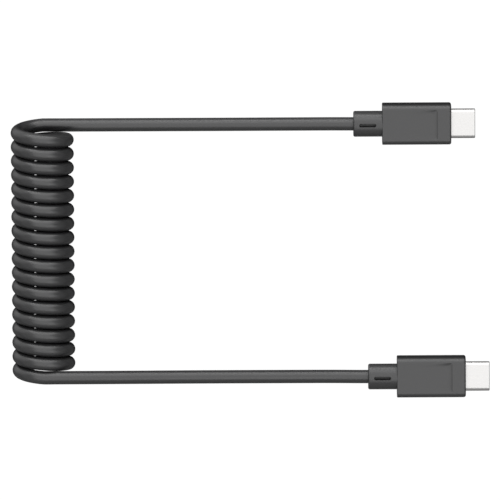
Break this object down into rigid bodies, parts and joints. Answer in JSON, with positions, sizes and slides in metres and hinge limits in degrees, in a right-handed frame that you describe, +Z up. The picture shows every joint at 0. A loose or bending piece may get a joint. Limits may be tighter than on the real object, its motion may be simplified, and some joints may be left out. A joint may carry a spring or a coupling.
{
  "type": "coiled usb-c cable",
  "caption": "Coiled usb-c cable lying flat: a close coil of black jacketed cord, with a straight lead and a slim plug with a metal shell at each end.",
  "frame": {"origin": "on the table the cable lies on, midway between the two plugs", "axes": "+X the way the plugs point, +Y from plug b to plug a and along the coil's axis, +Z up from the table"},
  "size_m": [0.1319, 0.0822, 0.0174],
  "materials": {
    "overmould": "moulded, satin black",
    "plug_shell": "drawn and nickel plated, bright satin",
    "insulator": "moulded black",
    "contacts": "gold plated",
    "cord_jacket": "extruded, satin black"
  },
  "bodies": {
    "root": {"plug_a_overmould": "overmould", "plug_a_shell": "plug_shell", "plug_a_insert": "insulator", "plug_a_contacts_top": "contacts", "plug_a_contacts_bottom": "contacts", "plug_b_overmould": "overmould", "plug_b_shell": "plug_shell", "plug_b_insert": "insulator", "plug_b_contacts_top": "contacts", "plug_b_contacts_bottom": "contacts", "cord_lead_a": "cord_jacket", "cord_coil": "cord_jacket", "cord_lead_b": "cord_jacket"}
  },
  "joints": []
}
